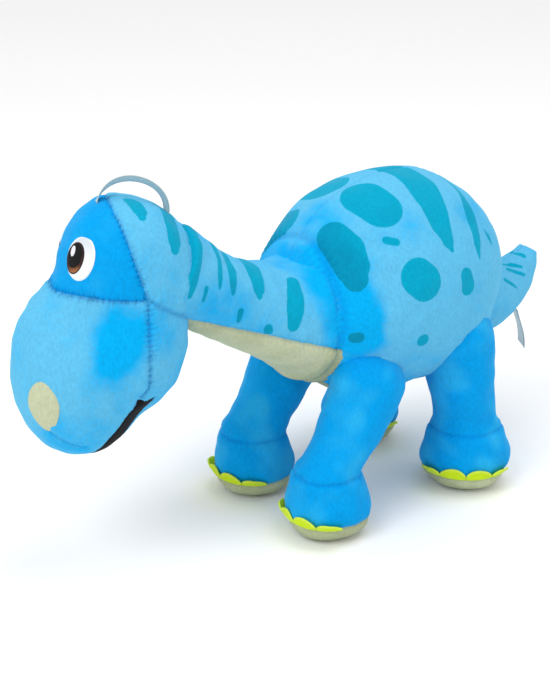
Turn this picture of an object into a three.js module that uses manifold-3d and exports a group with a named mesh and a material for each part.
// A stuffed long-necked dinosaur: sewn plush covers over stuffing, standing on four boots.
// Millimetres, +Z up, head towards -Y, the animal's left side towards +X.
// The origin is on the floor, under the middle of the whole toy.
import * as THREE from 'three';
import { mergeVertices } from 'three/addons/utils/BufferGeometryUtils.js';
import Module from 'manifold-3d';

const wasm = await Module();
wasm.setup();

// ---- driving dimensions ----
const CLOTH = 2.0; // thickness of pile fabric with its backing
const GAP = 0.3; // clearance between neighbouring pieces
const PATCH_LIFT = 0.3; // clearance under an embroidered or sewn-on patch
const PATCH = 1.2; // thickness of such a patch

// The torso is one egg, a little flatter below its middle.
const TORSO = { centre: [0, 35, 160], radii: [77, 104, 86], belly: 81 };
const SHOULDER_Y = -48; // plane of the shoulder seam
const BELLY_PATCH = { centre: [0, 28], half: [27, 78], top: 120 };

// Stations of a limb: place of the centre line, then half-width across and half-height.
const NECK = [
  [0, -30, 152, 49, 53],
  [0, -50, 157, 46, 50],
  [0, -72, 162, 40, 37],
  [0, -105, 176, 32, 31],
  [0, -138, 196, 29, 28],
  [0, -168, 218, 28.5, 28.5],
];
const NECK_TOP = 29; // ball end of the neck inside the head
const NECK_PIVOT = [0, -50, 156];
const NECK_CORE = 32; // ball of stuffing that joins neck and torso
const NECK_SWING = 9;
const THROAT_EDGE = { y: -65, z: 145, tilt: 21 }; // upper edge of the cream throat panel

// The head is a blend of three egg-shaped lobes seen from one inner point, turned to the right.
const HEAD_PIVOT = [0, -168, 218];
const HEAD_TURN = -25;
const HEAD_SWING = 10;
const HEAD_CENTRE = [0, -206, 190];
const HEAD_BLEND = 6;
const HEAD_LOBES = [
  { centre: [0, -196, 222], radii: [43, 43, 47] },
  { centre: [0, -229, 152], radii: [47, 45, 62] },
  { centre: [0, -196, 174], radii: [46, 41, 56] },
];
const CHEEK = { y: -188, z: 210, crownTilt: 16, browTilt: 2, napeTilt: 36 }; // seams meet here
const MOUTH = { y: -193, z: 137, tilt: 35, width: 8 };
const EYE = { centre: [25, -228, 238], half: [12, 14.5], lobe: HEAD_LOBES[0] };
const NOSTRIL = { centre: [34, -258, 139], half: [12.5, 18.5], lobe: HEAD_LOBES[1] };

const LOOP = { front: [0, -211, 267.5], back: [0, -166, 251], rise: 20, width: 8, thick: 1.2 };
const LOOP_POCKET = 5.4; // hollow round each sewn end, with room for the ribbon to flop

// Legs: hip and foot centre, the sleeve's and the boot's radii, and how far the toes turn to +X.
const LEGS = [
  { name: 'left_front', hip: [48, -24, 104], foot: [46, -59], thigh: 27, calf: 24, boot: 31.5, toes: 0 },
  { name: 'right_front', hip: [-42, -22, 104], foot: [-44, -53], thigh: 27, calf: 24, boot: 31.5, toes: 0 },
  { name: 'left_rear', hip: [54, 68, 118], foot: [54, 78], thigh: 26, calf: 24.5, boot: 34, toes: 45 },
  { name: 'right_rear', hip: [-54, 68, 118], foot: [-60, 75], thigh: 26, calf: 24.5, boot: 31.5, toes: 45 },
];
const LEG_SWING = 12;
const ANKLE_Z = 48;
// Height, and share of the boot's radius.
const BOOT_PROFILE = [[ANKLE_Z, 0.8], [36, 0.91], [25, 1], [15, 0.97], [6, 0.83], [0, 0.55]];
const SOLE_Z = 15; // seam between boot and sole
const TOE = { thick: 1.4, reach: 7, lobes: 4, spread: 74, inside: 4 };

const TAIL = [
  [0, 112, 122, 31, 33],
  [0, 132, 122, 28, 31],
  [0, 157, 121, 24, 28],
  [0, 179, 125, 18, 22],
  [0, 196, 137, 13, 15],
  [0, 204, 148, 8, 8],
];
const TAIL_PIVOT = [0, 130, 124];
const TAIL_CORE = 27;
const TAIL_SWING = 15;

const LABEL = { top: [6, 184, 101], width: 20, length: 34, thick: 0.8, yaw: -33, lean: 14 };

// ---- facets: sides around and steps along ----
const TORSO_MESH = [22, 12];
const HEAD_MESH = [22, 14];
const NECK_MESH = [16, 7];
const TAIL_MESH = [12, 6];
const BALL_MESH = [14, 8];
const LEG_SIDES = 12;
const ROOM_SIDES = 14;

// ---- colours ----
const finish = (color, roughness) => ({ color, roughness, metalness: 0 });
const BLUE = finish(0x3fb4e6, 0.85);
const DEEP_BLUE = finish(0x0a9fe6, 0.85);
const CREAM = finish(0xe4e6c4, 0.9);
const LIME = finish(0xc4e01e, 0.95);
const BLACK = finish(0x08080a, 0.9);
const WHITE = finish(0xf2f4f2, 0.6);
const SATIN = finish(0xe4f0f2, 0.4);
const STUFFING = finish(0xf4f4f0, 1.0);

// ---- solids ----
function toSolid(geometry) {
  const bare = geometry.index ? geometry.toNonIndexed() : geometry.clone();
  bare.deleteAttribute('normal');
  bare.deleteAttribute('uv');
  const merged = mergeVertices(bare, 1e-4);
  const corners = [];
  const index = merged.index.array;
  for (let i = 0; i < index.length; i += 3) {
    const [a, b, c] = [index[i], index[i + 1], index[i + 2]];
    if (a !== b && b !== c && c !== a) corners.push(a, b, c);
  }
  return new wasm.Manifold(new wasm.Mesh({
    numProp: 3,
    vertProperties: new Float32Array(merged.attributes.position.array),
    triVerts: new Uint32Array(corners),
  }));
}

function toGeometry(solid) {
  const { vertProperties, triVerts } = solid.getMesh();
  const geometry = new THREE.BufferGeometry();
  geometry.setAttribute('position', new THREE.BufferAttribute(new Float32Array(vertProperties), 3));
  geometry.setIndex(new THREE.BufferAttribute(new Uint32Array(triVerts), 1));
  const flat = geometry.toNonIndexed();
  flat.computeVertexNormals();
  return flat;
}

const vec = (p) => new THREE.Vector3(p[0], p[1], p[2]);

function displaced(geometry, move) {
  const position = geometry.attributes.position;
  const point = new THREE.Vector3();
  for (let i = 0; i < position.count; i += 1) {
    point.fromBufferAttribute(position, i);
    const moved = move(point);
    position.setXYZ(i, moved.x, moved.y, moved.z);
  }
  return geometry;
}

// A round ball whose poles lie on the X axis, so that its rings run around the toy's middle plane.
function unitBall(sides, rings) {
  return new THREE.SphereGeometry(1, sides, rings).rotateZ(Math.PI / 2);
}

function torsoSolid(inset) {
  const [rx, ry, rz] = TORSO.radii;
  const shaped = displaced(unitBall(...TORSO_MESH), (d) => {
    const height = d.z < 0 ? TORSO.belly : rz;
    return new THREE.Vector3(d.x * (rx - inset), d.y * (ry - inset), d.z * (height - inset))
      .add(vec(TORSO.centre));
  });
  return toSolid(shaped);
}

// Distance from the head's inner point to the far side of one lobe, along a unit direction.
function reach(direction, lobe) {
  const radii = vec(lobe.radii);
  const along = direction.clone().divide(radii);
  const offset = vec(HEAD_CENTRE).sub(vec(lobe.centre)).divide(radii);
  const a = along.dot(along);
  const b = along.dot(offset);
  const c = offset.dot(offset) - 1;
  const root = b * b - a * c;
  return root > 0 ? Math.max((-b + Math.sqrt(root)) / a, 0) : 0;
}

function headRadius(direction) {
  const reaches = HEAD_LOBES.map((lobe) => reach(direction, lobe));
  const largest = Math.max(...reaches);
  const sum = reaches.reduce((total, r) => total + Math.exp((r - largest) / HEAD_BLEND), 0);
  return largest + HEAD_BLEND * Math.log(sum);
}

function headSolid(inset) {
  return toSolid(displaced(unitBall(...HEAD_MESH), (point) => {
    const direction = point.clone().normalize();
    return direction.multiplyScalar(headRadius(direction) - inset).add(vec(HEAD_CENTRE));
  }));
}

// A limb of oval sections along a smooth centre line. Its ends can be run on or cut short.
function limbSolid(stations, inset, sides, steps, extend = [0, 0]) {
  const line = new THREE.CatmullRomCurve3(stations.map((s) => vec(s)), false, 'catmullrom', 0.5);
  const sizes = new THREE.CatmullRomCurve3(
    stations.map((s) => new THREE.Vector3(s[3], s[4], 0)), false, 'catmullrom', 0.5,
  );
  const shaft = new THREE.CylinderGeometry(1, 1, 1, sides, steps);
  return toSolid(displaced(shaft, (point) => {
    const t = 0.5 - point.y;
    const tangent = line.getTangent(t);
    const across = new THREE.Vector3(1, 0, 0).addScaledVector(tangent, -tangent.x).normalize();
    const upward = new THREE.Vector3().crossVectors(tangent, across);
    const size = sizes.getPoint(t);
    const centre = line.getPoint(t);
    if (t === 0) centre.addScaledVector(tangent, -extend[0]);
    if (t === 1) centre.addScaledVector(tangent, extend[1]);
    return centre
      .addScaledVector(across, point.x * Math.max(size.x - inset, 0.5))
      .addScaledVector(upward, point.z * Math.max(size.y - inset, 0.5));
  }));
}

function ballSolid(centre, radius) {
  return toSolid(new THREE.SphereGeometry(radius, ...BALL_MESH).translate(...centre));
}

// A ball-shaped hollow whose flattest facets still clear a ball of this radius.
function roomBall(centre, radius) {
  const [sides, rings] = BALL_MESH;
  const facet = Math.cos(Math.PI / sides) * Math.cos(Math.PI / rings / 2);
  return ballSolid(centre, (radius + GAP) / facet);
}

// Everything on one side of a plane through a point: a large box standing on that plane.
function halfSpace(point, normal, shift = 0) {
  const size = 800;
  const up = vec(normal).normalize();
  const turn = new THREE.Quaternion().setFromUnitVectors(new THREE.Vector3(0, 0, 1), up);
  const box = new THREE.BoxGeometry(size, size, size).translate(0, 0, size / 2 + shift);
  return toSolid(box.applyQuaternion(turn).translate(...point));
}

// Room for a ball-ended limb to swing: a ball with a cone that opens along the limb.
function swingRoom(pivot, direction, limbRadius, swing, length = 160) {
  const half = THREE.MathUtils.degToRad(swing);
  const profile = [];
  const steps = 6;
  const facet = Math.cos(Math.PI / ROOM_SIDES) * Math.cos((Math.PI / 2 - half) / steps / 2);
  const radius = (limbRadius + GAP) / facet; // so that the middle of a facet clears the limb too
  for (let i = 0; i <= steps; i += 1) {
    const angle = -Math.PI / 2 + (i / steps) * (Math.PI / 2 - half);
    profile.push(new THREE.Vector2(radius * Math.cos(angle), radius * Math.sin(angle)));
  }
  profile[0].x = 0;
  const rim = profile[profile.length - 1];
  profile.push(new THREE.Vector2(rim.x + (length - rim.y) * Math.tan(half), length));
  profile.push(new THREE.Vector2(0, length));
  const turn = new THREE.Quaternion()
    .setFromUnitVectors(new THREE.Vector3(0, 1, 0), vec(direction).normalize());
  return toSolid(new THREE.LatheGeometry(profile, ROOM_SIDES).applyQuaternion(turn).translate(...pivot));
}

// The part of a limb that stays clear of a flat seam when it swings: in front of a blunt cone.
function aheadOfSeam(pivot, direction, swing) {
  const angle = THREE.MathUtils.degToRad(90 - swing);
  const size = 300;
  const profile = [
    new THREE.Vector2(0, 0),
    new THREE.Vector2(size * Math.sin(angle), size * Math.cos(angle)),
    new THREE.Vector2(size * Math.sin(angle), size),
    new THREE.Vector2(0, size),
  ];
  const turn = new THREE.Quaternion()
    .setFromUnitVectors(new THREE.Vector3(0, 1, 0), vec(direction).normalize());
  return toSolid(new THREE.LatheGeometry(profile, ROOM_SIDES).applyQuaternion(turn).translate(...pivot));
}

const leftSide = (shift = GAP / 2) => halfSpace([0, 0, 0], [1, 0, 0], shift);
const rightSide = (shift = GAP / 2) => halfSpace([0, 0, 0], [-1, 0, 0], shift);

// ---- the scene ----
const toy = new THREE.Group();
const headGroup = new THREE.Group();
const turnedHead = new THREE.Group();

function addPiece(group, name, solid, look) {
  const piece = new THREE.Mesh(toGeometry(solid), new THREE.MeshStandardMaterial(look));
  piece.name = name;
  group.add(piece);
  return piece;
}

const SIDES = [
  { name: 'left', sign: 1, half: leftSide },
  { name: 'right', sign: -1, half: rightSide },
];
const mirroredPoint = (p, sign) => [p[0] * sign, p[1], p[2] ?? 0];

// ---- legs ----
function legStations({ hip, foot, thigh, calf, boot }) {
  const [x0, y0, z0] = hip;
  const [x1, y1] = foot;
  const between = (share, z, across, along) => [
    x0 + (x1 - x0) * share, y0 + (y1 - y0) * share, z, across, along,
  ];
  const dome = [75, 48, 24].map((degrees) => {
    const angle = THREE.MathUtils.degToRad(degrees);
    const across = thigh * Math.cos(angle);
    return [x0, y0, z0 + thigh * Math.sin(angle), across, across];
  });
  return [
    ...dome,
    between(0, z0, thigh, thigh),
    between(0.42, z0 * 0.5 + ANKLE_Z * 0.5, calf + 1, calf + 1),
    between(0.85, ANKLE_Z + 8, calf, calf),
    ...BOOT_PROFILE.map(([z, share]) => between(1, z, boot * share, boot * share)),
  ];
}

function scallopedToes({ boot: radius, foot, toes }) {
  const outline = new THREE.Shape();
  const spread = THREE.MathUtils.degToRad(TOE.spread);
  const steps = 6 * TOE.lobes;
  const at = (r, angle) => [r * Math.sin(angle), -r * Math.cos(angle)];
  outline.moveTo(...at(radius - TOE.inside, -spread));
  for (let i = 0; i <= steps; i += 1) {
    const share = i / steps;
    const bulge = Math.sqrt(Math.abs(Math.sin(share * TOE.lobes * Math.PI)));
    outline.lineTo(...at(radius + TOE.reach * (0.25 + 0.75 * bulge), spread * (2 * share - 1)));
  }
  for (let i = 0; i <= steps / 2; i += 1) {
    outline.lineTo(...at(radius - TOE.inside, spread * (1 - (4 * i) / steps)));
  }
  outline.closePath();
  const felt = new THREE.ExtrudeGeometry(outline, { depth: TOE.thick, bevelEnabled: false });
  felt.rotateZ(THREE.MathUtils.degToRad(toes));
  return toSolid(felt.translate(foot[0], foot[1], SOLE_Z - TOE.thick / 2));
}

const legRooms = [];
for (const leg of LEGS) {
  const { name, hip, foot } = leg;
  const stations = legStations(leg);
  const down = [foot[0] - hip[0], foot[1] - hip[1], -hip[2]];
  const steps = stations.length - 1;
  const legSolid = (inset, extend) => limbSolid(stations, inset, LEG_SIDES, steps, extend);
  const outer = legSolid(0);
  const shell = outer.subtract(legSolid(CLOTH, [-CLOTH, 4]));
  const core = legSolid(CLOTH + GAP, [-CLOTH - GAP, -CLOTH - GAP]);
  const openTop = halfSpace([hip[0], hip[1], hip[2] + leg.thigh * 0.55], [0, 0, -1]);
  const above = (z) => halfSpace([0, 0, z], [0, 0, 1]);
  const below = (z) => halfSpace([0, 0, z], [0, 0, -1]);
  const slot = TOE.thick / 2 + GAP;
  const sleeve = shell.intersect(openTop).intersect(above(ANKLE_Z + GAP / 2));
  const boot = shell.intersect(below(ANKLE_Z - GAP / 2)).intersect(above(SOLE_Z + slot));
  const soleShell = outer.subtract(legSolid(CLOTH, [-CLOTH, -CLOTH]));
  const sole = soleShell.intersect(below(SOLE_Z - slot));
  const toes = scallopedToes(leg);
  const toeRoom = halfSpace([0, 0, SOLE_Z - slot], [0, 0, 1])
    .intersect(below(SOLE_Z + slot))
    .subtract(legSolid(TOE.inside + 1));
  addPiece(toy, `${name}_leg_sleeve`, sleeve, DEEP_BLUE);
  addPiece(toy, `${name}_boot`, boot, DEEP_BLUE);
  addPiece(toy, `${name}_sole`, sole, CREAM);
  addPiece(toy, `${name}_toe_felt`, toes, LIME);
  addPiece(toy, `${name}_leg_stuffing`, core.subtract(toeRoom), STUFFING);
  legRooms.push(swingRoom(hip, down, leg.thigh, LEG_SWING + 3));
}

// ---- torso ----
const tailWay = [0, 1, 0.08];
const neckRoom = roomBall(NECK_PIVOT, NECK_CORE)
  .add(halfSpace([0, SHOULDER_Y, 0], [0, -1, 0]));
const tailRoom = swingRoom(TAIL_PIVOT, tailWay, TAIL_CORE, TAIL_SWING + 3);
const rooms = wasm.Manifold.union([neckRoom, tailRoom, ...legRooms]);
const torsoShell = torsoSolid(0).subtract(torsoSolid(CLOTH)).subtract(rooms);
const bellyCutter = (grow) => toSolid(
  new THREE.CylinderGeometry(1, 1, BELLY_PATCH.top, 20)
    .rotateX(Math.PI / 2)
    .scale(BELLY_PATCH.half[0] + grow, BELLY_PATCH.half[1] + grow, 1)
    .translate(BELLY_PATCH.centre[0], BELLY_PATCH.centre[1], BELLY_PATCH.top / 2),
);
for (const side of SIDES) {
  const panel = torsoShell.intersect(side.half()).subtract(bellyCutter(GAP));
  addPiece(toy, `torso_${side.name}_panel`, panel, BLUE);
}
addPiece(toy, 'belly_panel', torsoShell.intersect(bellyCutter(0)), CREAM);
addPiece(toy, 'torso_stuffing', torsoSolid(CLOTH + GAP).subtract(rooms), STUFFING);

// ---- neck ----
const neckFront = aheadOfSeam(NECK_PIVOT, [0, -1, 0], NECK_SWING + 1.5);
const neckShape = (inset) => limbSolid(NECK, inset, ...NECK_MESH, [inset * 4, 0])
  .add(ballSolid(HEAD_PIVOT, NECK_TOP - inset));
const neckOpen = halfSpace([0, HEAD_PIVOT[1] - 14, HEAD_PIVOT[2] + 10], [0, 0.84, -0.54]);
const neckShell = neckShape(0).subtract(neckShape(CLOTH)).intersect(neckFront).intersect(neckOpen);
const throatAngle = THREE.MathUtils.degToRad(THROAT_EDGE.tilt);
const throatUp = [0, Math.sin(throatAngle), Math.cos(throatAngle)];
const throatPoint = [0, THROAT_EDGE.y, THROAT_EDGE.z];
const aboveThroat = halfSpace(throatPoint, throatUp, GAP / 2);
const belowThroat = halfSpace(throatPoint, throatUp.map((value) => -value), GAP / 2);
for (const side of SIDES) {
  const panel = neckShell.intersect(side.half()).intersect(aboveThroat);
  addPiece(toy, `neck_${side.name}_panel`, panel, BLUE);
}
addPiece(toy, 'throat_panel', neckShell.intersect(belowThroat), CREAM);
const neckStuffing = neckShape(CLOTH + GAP)
  .intersect(neckFront)
  .intersect(neckOpen)
  .add(ballSolid(NECK_PIVOT, NECK_CORE));
addPiece(toy, 'neck_stuffing', neckStuffing, STUFFING);

// ---- tail ----
const tailOuter = limbSolid(TAIL, 0, ...TAIL_MESH);
const tailReach = swingRoom(TAIL_PIVOT, tailWay, TAIL_CORE, 1);
const tailCloth = tailOuter.subtract(limbSolid(TAIL, CLOTH, ...TAIL_MESH, [8, -CLOTH]));
const tailShell = tailCloth.intersect(tailReach).intersect(halfSpace(TAIL_PIVOT, tailWay));
for (const side of SIDES) {
  addPiece(toy, `tail_${side.name}_panel`, tailShell.intersect(side.half()), BLUE);
}
const tailStuffing = limbSolid(TAIL, CLOTH + GAP, ...TAIL_MESH, [0, -CLOTH - GAP])
  .intersect(halfSpace(TAIL_PIVOT, tailWay))
  .intersect(tailReach)
  .add(ballSolid(TAIL_PIVOT, TAIL_CORE - CLOTH - GAP));
addPiece(toy, 'tail_stuffing', tailStuffing, STUFFING);

// ---- head, built facing -Y and then turned about its pivot ----
const upright = new THREE.Vector3(0, 0, 1);
const headTurn = THREE.MathUtils.degToRad(HEAD_TURN);
const neckEntry = new THREE.Vector3(0, 0.84, -0.54).applyAxisAngle(upright, -headTurn).toArray();
const neckSocket = swingRoom(HEAD_PIVOT, neckEntry, NECK_TOP, HEAD_SWING + 3);
const pocketAt = (point) => toSolid(
  new THREE.CylinderGeometry(LOOP_POCKET, LOOP_POCKET, LOOP_POCKET * 2, 14)
    .applyQuaternion(new THREE.Quaternion().setFromUnitVectors(
      new THREE.Vector3(0, 1, 0), vec(LOOP.back).sub(vec(LOOP.front)).normalize(),
    ))
    .translate(...point),
);
const headRooms = wasm.Manifold.union([neckSocket, pocketAt(LOOP.front), pocketAt(LOOP.back)]);
const headCover = headSolid(0).subtract(headSolid(CLOTH)).subtract(headRooms);
const corner = [0, CHEEK.y, CHEEK.z]; // where brow, nape, snout and jaw meet
const mouthCorner = [0, MOUTH.y, MOUTH.z];
const cutFacing = (point, [y, z], shift) => halfSpace(point, [0, y, z], shift);
const facing = (degrees) => {
  const angle = THREE.MathUtils.degToRad(degrees);
  return [Math.cos(angle), Math.sin(angle)];
};
const opposite = ([y, z]) => [-y, -z];
const half = GAP / 2;
const crownFront = facing(180 + CHEEK.crownTilt);
const browTop = facing(90 - CHEEK.browTilt);
const napeTop = facing(90 - CHEEK.napeTilt);
const mouthFace = facing(180 - MOUTH.tilt);
const forward = facing(180);
const snoutZone = (shift) => cutFacing(corner, forward, shift)
  .intersect(cutFacing(mouthCorner, mouthFace, shift))
  .intersect(cutFacing(corner, opposite(browTop), shift));
const mouthZone = (grow) => cutFacing(mouthCorner, opposite(mouthFace), half - grow)
  .intersect(cutFacing(mouthCorner, mouthFace, -MOUTH.width - grow))
  .intersect(halfSpace([0, 0, MOUTH.z + grow], [0, 0, -1]));
const browZone = cutFacing(corner, crownFront, half).intersect(cutFacing(corner, browTop, half));
const napeZone = cutFacing(corner, opposite(crownFront), half)
  .intersect(cutFacing(corner, napeTop, half));
const jawZone = cutFacing(corner, opposite(napeTop), half)
  .subtract(snoutZone(-half))
  .subtract(mouthZone(GAP))
  .subtract(cutFacing(corner, crownFront, -half).intersect(cutFacing(corner, browTop, -half)));
const patchLayer = headSolid(-PATCH_LIFT - PATCH).subtract(headSolid(-PATCH_LIFT));

function ovalPatch({ centre, half: [across, up], lobe }, sign) {
  const point = vec(mirroredPoint(centre, sign));
  const radii = vec(lobe.radii);
  const outward = point.clone().sub(vec(lobe.centre)).divide(radii).divide(radii).normalize();
  const turn = new THREE.Matrix4().lookAt(outward, new THREE.Vector3(), upright);
  const plug = new THREE.CylinderGeometry(1, 1, 30, 16).rotateX(Math.PI / 2).scale(across, up, 1);
  return patchLayer.intersect(toSolid(plug.applyMatrix4(turn).translate(point.x, point.y, point.z)));
}

for (const side of SIDES) {
  const cover = headCover.intersect(side.half());
  addPiece(turnedHead, `brow_${side.name}_panel`, cover.intersect(browZone), DEEP_BLUE);
  addPiece(turnedHead, `nape_${side.name}_panel`, cover.intersect(napeZone), BLUE);
  addPiece(turnedHead, `snout_${side.name}_panel`, cover.intersect(snoutZone(half)), BLUE);
  addPiece(turnedHead, `jaw_${side.name}_panel`, cover.intersect(jawZone), BLUE);
  addPiece(turnedHead, `${side.name}_eye`, ovalPatch(EYE, side.sign), WHITE);
  addPiece(turnedHead, `${side.name}_nostril`, ovalPatch(NOSTRIL, side.sign), CREAM);
}
addPiece(turnedHead, 'mouth_strip', headCover.intersect(mouthZone(0)), BLACK);
addPiece(turnedHead, 'head_stuffing', headSolid(CLOTH + GAP).subtract(headRooms), STUFFING);

// ---- hanging loop: a satin ribbon arch over the crown ----
function ribbonArch() {
  const chord = vec(LOOP.back).sub(vec(LOOP.front));
  const length = chord.length();
  const lift = LOOP.rise / 0.75;
  const bow = new THREE.CubicBezierCurve(
    new THREE.Vector2(0, 0.6), new THREE.Vector2(1, lift),
    new THREE.Vector2(length - 1, lift), new THREE.Vector2(length, 0.6),
  );
  const steps = 14;
  const edge = (side) => Array.from({ length: steps + 1 }, (_, i) => {
    const along = bow.getTangent(i / steps);
    const offset = new THREE.Vector2(-along.y, along.x).multiplyScalar((side * LOOP.thick) / 2);
    return bow.getPoint(i / steps).add(offset);
  });
  const outline = new THREE.Shape([...edge(1), ...edge(-1).reverse()]);
  const ribbon = new THREE.ExtrudeGeometry(outline, { depth: LOOP.width, bevelEnabled: false });
  ribbon.translate(0, 0, -LOOP.width / 2);
  const alongChord = chord.clone().normalize();
  const across = new THREE.Vector3(1, 0, 0);
  const axes = new THREE.Matrix4()
    .makeBasis(alongChord, new THREE.Vector3().crossVectors(across, alongChord), across);
  return toSolid(ribbon.applyMatrix4(axes).translate(...LOOP.front));
}
addPiece(turnedHead, 'hang_loop', ribbonArch(), SATIN);
turnedHead.position.set(-HEAD_PIVOT[0], -HEAD_PIVOT[1], -HEAD_PIVOT[2]);
headGroup.add(turnedHead);
headGroup.position.set(...HEAD_PIVOT);
headGroup.rotation.z = headTurn;
toy.add(headGroup);

// ---- care label, sewn in under the tail ----
const label = new THREE.Mesh(
  new THREE.BoxGeometry(LABEL.width, LABEL.thick, LABEL.length).translate(0, 0, -LABEL.length / 2),
  new THREE.MeshStandardMaterial(SATIN),
);
label.name = 'care_label';
label.position.set(...LABEL.top);
label.rotation.set(
  THREE.MathUtils.degToRad(LABEL.lean), 0, THREE.MathUtils.degToRad(LABEL.yaw), 'ZYX',
);
toy.add(label);

// The origin moves to the floor, under the middle of the whole toy.
const bounds = new THREE.Box3().setFromObject(toy, true);
const middle = bounds.getCenter(new THREE.Vector3());
toy.position.set(-middle.x, -middle.y, -bounds.min.z);

export default toy;
